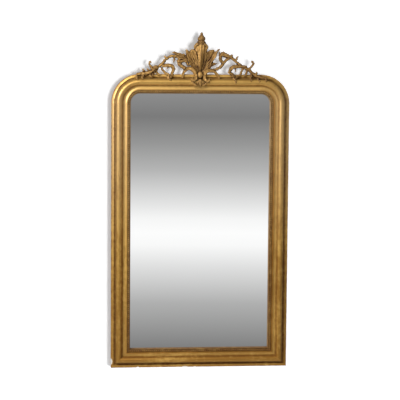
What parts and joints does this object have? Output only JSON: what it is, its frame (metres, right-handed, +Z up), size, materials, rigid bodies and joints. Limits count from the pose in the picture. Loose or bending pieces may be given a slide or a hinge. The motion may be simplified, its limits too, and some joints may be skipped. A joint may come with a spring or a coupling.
{
  "type": "gilt wall mirror",
  "caption": "Tall gilt wood wall mirror with rounded upper corners, a pearl-beaded sight edge, a carved rocaille crest and hanging rings behind.",
  "frame": {"origin": "on the wall plane, on the centre line, at the bottom edge of the frame", "axes": "+X to the viewer's right, +Y into the wall, +Z up"},
  "size_m": [0.87, 0.0753, 1.644],
  "materials": {
    "gilt_moulding": "worn gold leaf over red bole on a wooden moulding",
    "gilt_pearls": "dark, worn gold leaf",
    "gilt_carving": "worn gold leaf with dark hollows",
    "mirror_glass": "silvered plate",
    "softwood": "raw aged softwood",
    "iron": "dark iron"
  },
  "bodies": {
    "frame": {"backboard_1": "softwood", "backboard_2": "softwood", "backboard_3": "softwood", "backboard_4": "softwood", "backboard_5": "softwood", "backboard_6": "softwood", "backboard_nails": "iron", "bottom_rail": "gilt_moulding", "carcass_rail_bottom": "softwood", "carcass_rail_top": "softwood", "carcass_stile_left": "softwood", "carcass_stile_right": "softwood", "corner_left": "gilt_moulding", "corner_right": "gilt_moulding", "crest_batten": "softwood", "crest_block": "softwood", "crest_bud": "gilt_carving", "crest_cabochon": "gilt_carving", "crest_leaf_left": "gilt_carving", "crest_leaf_right": "gilt_carving", "crest_pendant": "gilt_carving", "crest_screws": "iron", "crest_scroll_left": "gilt_carving", "crest_scroll_right": "gilt_carving", "crest_shell": "gilt_carving", "crest_spray_left": "gilt_carving", "crest_spray_right": "gilt_carving", "glass_blocks": "softwood", "glass_shims": "softwood", "hanger_plate_left": "iron", "hanger_plate_right": "iron", "hanger_screws": "iron", "mirror_plate": "mirror_glass", "pearls_bottom": "gilt_pearls", "pearls_corner_left": "gilt_pearls", "pearls_corner_right": "gilt_pearls", "pearls_left": "gilt_pearls", "pearls_right": "gilt_pearls", "pearls_top": "gilt_pearls", "stile_left": "gilt_moulding", "stile_right": "gilt_moulding", "top_rail": "gilt_moulding"},
    "ring_left": {"hanger_ring_left": "iron"},
    "ring_right": {"hanger_ring_right": "iron"}
  },
  "joints": [
    {"name": "ring_swing_left", "type": "hinge", "parent": "frame", "child": "ring_left", "pos_m": [-0.397, 0.00365, 1.11], "axis": [1, 0, 0], "range_deg": [0, 180]},
    {"name": "ring_swing_right", "type": "hinge", "parent": "frame", "child": "ring_right", "pos_m": [0.397, 0.00365, 1.11], "axis": [1, 0, 0], "range_deg": [0, 180]}
  ]
}
